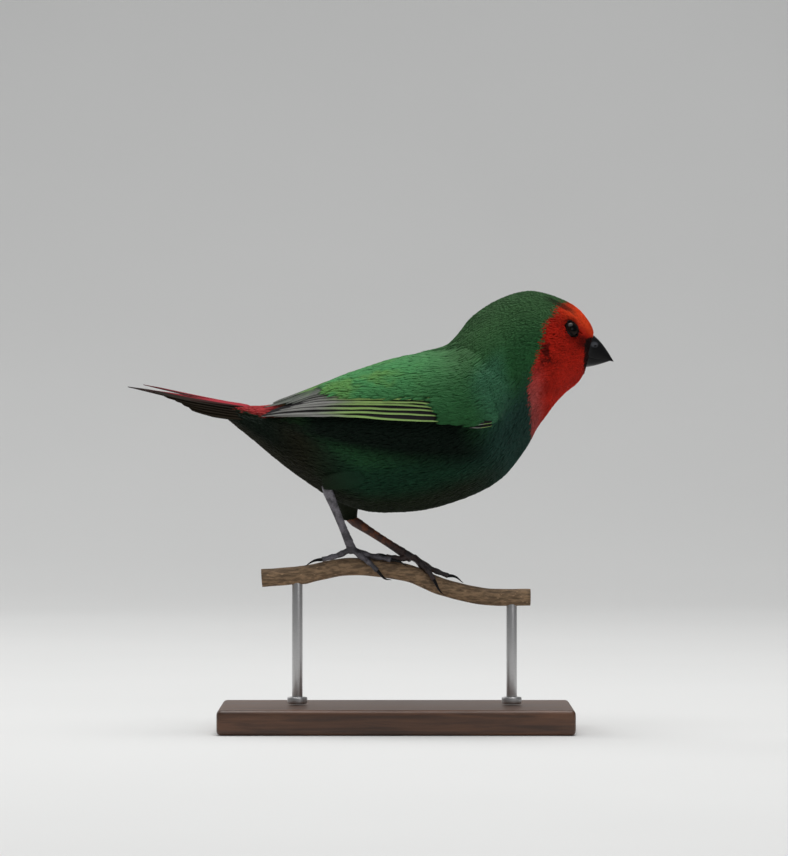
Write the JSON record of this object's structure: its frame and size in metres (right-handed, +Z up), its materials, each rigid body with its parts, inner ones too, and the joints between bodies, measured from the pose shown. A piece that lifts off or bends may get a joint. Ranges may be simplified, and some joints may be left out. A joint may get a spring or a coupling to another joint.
{
  "type": "red-throated parrotfinch",
  "caption": "Life-size model of a red-throated parrotfinch striding along a cut stem, with folded wings and a pointed tail, held by a plain display stand.",
  "frame": {"origin": "middle of the bounding box in X and Y, on the plane that the stand's base rests on", "axes": "+X the way the bird faces, +Y its left side, +Z up"},
  "size_m": [0.1157, 0.044, 0.1045],
  "materials": {
    "plumage_green": "small dense feathers, green above and dark blue-green below",
    "plumage_red": "small dense feathers, red",
    "flight_feathers": "dark brown flight feathers with green and red edges",
    "leg_skin": "scaly grey-brown skin",
    "claw_horn": "dark horn",
    "eye": "wet and dark",
    "bill": "black horn with a soft shine",
    "bark": "thin grey-brown bark",
    "stand_base": "dark wood, satin",
    "stand_rod": "brushed"
  },
  "bodies": {
    "root": {"head": "plumage_green", "neck": "plumage_green", "torso": "plumage_green", "rump": "plumage_red", "tail": "flight_feathers", "wing_right": "plumage_green", "wing_left": "plumage_green", "thigh_right": "plumage_green", "thigh_left": "plumage_green", "shank_right": "leg_skin", "shank_left": "leg_skin", "foot_right": "leg_skin", "foot_left": "leg_skin", "claw_right_middle": "claw_horn", "claw_right_inner": "claw_horn", "claw_right_outer": "claw_horn", "claw_right_hind": "claw_horn", "claw_left_middle": "claw_horn", "claw_left_inner": "claw_horn", "claw_left_outer": "claw_horn", "claw_left_hind": "claw_horn", "eye_right": "eye", "eye_left": "eye", "bill_upper": "bill", "bill_lower": "bill", "perch": "bark", "stand_base": "stand_base", "stand_rod_rear": "stand_rod", "stand_rod_front": "stand_rod"}
  },
  "joints": []
}
